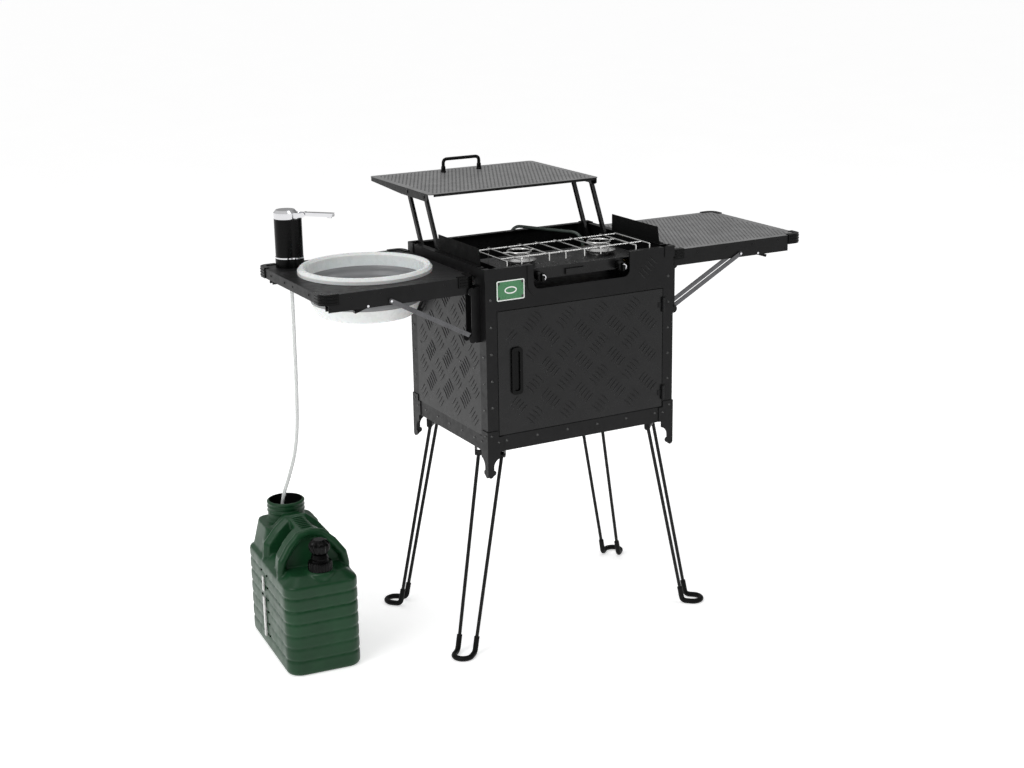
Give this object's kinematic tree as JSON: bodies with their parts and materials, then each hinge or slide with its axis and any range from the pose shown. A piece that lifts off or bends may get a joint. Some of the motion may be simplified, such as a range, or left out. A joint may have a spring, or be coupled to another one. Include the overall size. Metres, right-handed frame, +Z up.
{
  "type": "camp kitchen table",
  "caption": "Folding camp kitchen: steel cabinet on hairpin legs with side shelves, stove, raised rack, collapsible basin, pump tap and water can.",
  "frame": {"origin": "on the floor under the middle of the bounding box of the whole table, its open shelves and the water can", "axes": "+X to the user's right along the cabinet's front, +Y to the back, +Z up"},
  "size_m": [1.3168, 0.6415, 1.0362],
  "materials": {
    "steel_black": "satin powder coat",
    "sheet_black": "satin powder coat",
    "shelf_grey": "satin powder coat",
    "plastic_black": "moulded",
    "rubber_black": "matt",
    "chrome": "polished",
    "steel_wire": "plated wire",
    "brass": "machined",
    "plate_green": "gloss paint",
    "basin_white": "moulded",
    "basin_grey": "soft moulding",
    "can_green": "blow moulded",
    "gauge": "clear strip",
    "hose_clear": "translucent tube",
    "hose_rubber": "matt"
  },
  "bodies": {
    "cabinet": {"corner_posts": "steel_black", "cabinet_rails": "steel_black", "decks": "sheet_black", "cabinet_panels": "sheet_black", "front_fascia": "steel_black", "name_plate": "plate_green", "corner_castings": "steel_black", "cabinet_rivets": "steel_black", "wall_plates": "steel_black", "leg_brackets": "steel_black", "wind_guards": "steel_black", "stove_pan": "sheet_black", "burners": "steel_wire", "gas_fittings": "brass", "gas_hose": "hose_rubber", "rack_brackets": "steel_black", "door_hinge_leaves": "steel_black", "can_body": "can_green", "can_spigot": "plastic_black", "level_gauge": "gauge", "water_hose": "hose_clear"},
    "door": {"door_panel": "sheet_black", "door_handle": "plastic_black", "door_hinge_pins": "steel_black"},
    "knob_left": {"knob_left": "plastic_black"},
    "knob_right": {"knob_right": "plastic_black"},
    "grate": {"grate": "steel_wire"},
    "left_shelf": {"left_shelf_top": "shelf_grey", "left_shelf_frame": "steel_black", "left_shelf_guards": "plastic_black", "left_arms": "steel_black", "basin_rim": "basin_white", "basin_sleeve": "basin_grey", "tap_body": "plastic_black", "tap_chrome": "chrome"},
    "left_braces": {"left_braces": "steel_black"},
    "left_levers": {"left_levers": "plastic_black"},
    "basin_base": {"basin_base": "basin_white"},
    "tap_spout": {"tap_spout": "chrome"},
    "right_shelf": {"right_shelf_top": "shelf_grey", "right_shelf_frame": "steel_black", "right_shelf_guards": "plastic_black", "right_arms": "steel_black"},
    "right_braces": {"right_braces": "steel_black"},
    "right_levers": {"right_levers": "plastic_black"},
    "rack_arms_rear": {"rack_arms_rear": "steel_black"},
    "rack_arms_front": {"rack_arms_front": "steel_black"},
    "rack": {"rack_panel": "shelf_grey", "rack_handle": "plastic_black"},
    "leg_fl": {"leg_fl_rods": "steel_black", "leg_fl_sleeve": "rubber_black"},
    "leg_fr": {"leg_fr_rods": "steel_black", "leg_fr_sleeve": "rubber_black"},
    "leg_rl": {"leg_rl_rods": "steel_black", "leg_rl_sleeve": "rubber_black"},
    "leg_rr": {"leg_rr_rods": "steel_black", "leg_rr_sleeve": "rubber_black"},
    "can_spigot_knob": {"can_spigot_knob": "plastic_black"}
  },
  "joints": [
    {"name": "door_hinge", "type": "hinge", "parent": "cabinet", "child": "door", "pos_m": [0.24319, -0.30368, 0.65], "axis": [0, 0, 1], "range_deg": [0, 115]},
    {"name": "knob_left_turn", "type": "hinge", "parent": "cabinet", "child": "knob_left", "pos_m": [-0.07306, -0.29308, 0.851], "axis": [0, -1, 0], "range_deg": [0, 210]},
    {"name": "knob_right_turn", "type": "hinge", "parent": "cabinet", "child": "knob_right", "pos_m": [0.13294, -0.29308, 0.851], "axis": [0, -1, 0], "range_deg": [0, 210]},
    {"name": "grate_lift", "type": "slide", "parent": "cabinet", "child": "grate", "axis": [0, 0, 1], "range_m": [0, 0.06]},
    {"name": "left_fold", "type": "hinge", "parent": "cabinet", "child": "left_shelf", "pos_m": [-0.23206, -0.09008, 0.833], "axis": [0, -1, 0], "range_deg": [0, 90], "deforming": ["water_hose"]},
    {"name": "left_brace_fold", "type": "hinge", "parent": "cabinet", "child": "left_braces", "pos_m": [-0.23206, -0.09008, 0.735], "axis": [0, -1, 0], "range_deg": [0, 118.6]},
    {"name": "left_lever_press", "type": "hinge", "parent": "left_shelf", "child": "left_levers", "pos_m": [-0.47006, -0.09008, 0.831], "axis": [0, 1, 0], "range_deg": [0, 12], "stiffness_Nm_per_rad": 0.3},
    {"name": "basin_collapse", "type": "slide", "parent": "left_shelf", "child": "basin_base", "axis": [0, 0, 1], "range_m": [0, 0.0481], "deforming": ["basin_sleeve"]},
    {"name": "spout_fold", "type": "hinge", "parent": "left_shelf", "child": "tap_spout", "pos_m": [-0.48724, 0.0181, 0.982], "axis": [0.7071, 0.7071, 0], "range_deg": [0, 90]},
    {"name": "right_fold", "type": "hinge", "parent": "cabinet", "child": "right_shelf", "pos_m": [0.29194, -0.09008, 0.833], "axis": [0, 1, 0], "range_deg": [0, 90]},
    {"name": "right_brace_fold", "type": "hinge", "parent": "cabinet", "child": "right_braces", "pos_m": [0.29194, -0.09008, 0.735], "axis": [0, 1, 0], "range_deg": [0, 118.6]},
    {"name": "right_lever_press", "type": "hinge", "parent": "right_shelf", "child": "right_levers", "pos_m": [0.52994, -0.09008, 0.831], "axis": [0, -1, 0], "range_deg": [0, 12], "stiffness_Nm_per_rad": 0.3},
    {"name": "rack_swing", "type": "hinge", "parent": "cabinet", "child": "rack_arms_rear", "pos_m": [0.02994, 0.02592, 0.826], "axis": [1, 0, 0], "range_deg": [0, 96.5]},
    {"name": "rack_front_swing", "type": "hinge", "parent": "cabinet", "child": "rack_arms_front", "pos_m": [0.02994, -0.06208, 0.826], "axis": [1, 0, 0], "range_deg": [0, 96.6]},
    {"name": "rack_level", "type": "hinge", "parent": "rack_arms_rear", "child": "rack", "pos_m": [0.02994, 0.11036, 0.99173], "axis": [1, 0, 0], "range_deg": [-96.6, 0]},
    {"name": "leg_fl_fold", "type": "hinge", "parent": "cabinet", "child": "leg_fl", "pos_m": [-0.18206, -0.25408, 0.455], "axis": [0.7071, -0.7071, 0], "range_deg": [0, 100.5]},
    {"name": "leg_fr_fold", "type": "hinge", "parent": "cabinet", "child": "leg_fr", "pos_m": [0.24194, -0.25408, 0.455], "axis": [0.7071, 0.7071, 0], "range_deg": [0, 96.5]},
    {"name": "leg_rl_fold", "type": "hinge", "parent": "cabinet", "child": "leg_rl", "pos_m": [-0.18206, 0.02792, 0.455], "axis": [-0.7071, -0.7071, 0], "range_deg": [0, 96.5]},
    {"name": "leg_rr_fold", "type": "hinge", "parent": "cabinet", "child": "leg_rr", "pos_m": [0.24194, 0.02792, 0.455], "axis": [-0.7071, 0.7071, 0], "range_deg": [0, 100.5]},
    {"name": "spigot_turn", "type": "hinge", "parent": "cabinet", "child": "can_spigot_knob", "pos_m": [-0.56522, -0.16914, 0.275], "axis": [0, 0, 1], "range_deg": [0, 90]}
  ],
  "couplings": [
    {"joint": "left_brace_fold", "follows": "left_fold", "ratio": 1.3167},
    {"joint": "basin_collapse", "follows": "left_fold", "m_per_rad": 0.030558},
    {"joint": "right_brace_fold", "follows": "right_fold", "ratio": 1.3167},
    {"joint": "rack_front_swing", "follows": "rack_swing", "ratio": 1},
    {"joint": "rack_level", "follows": "rack_swing", "ratio": -1}
  ]
}
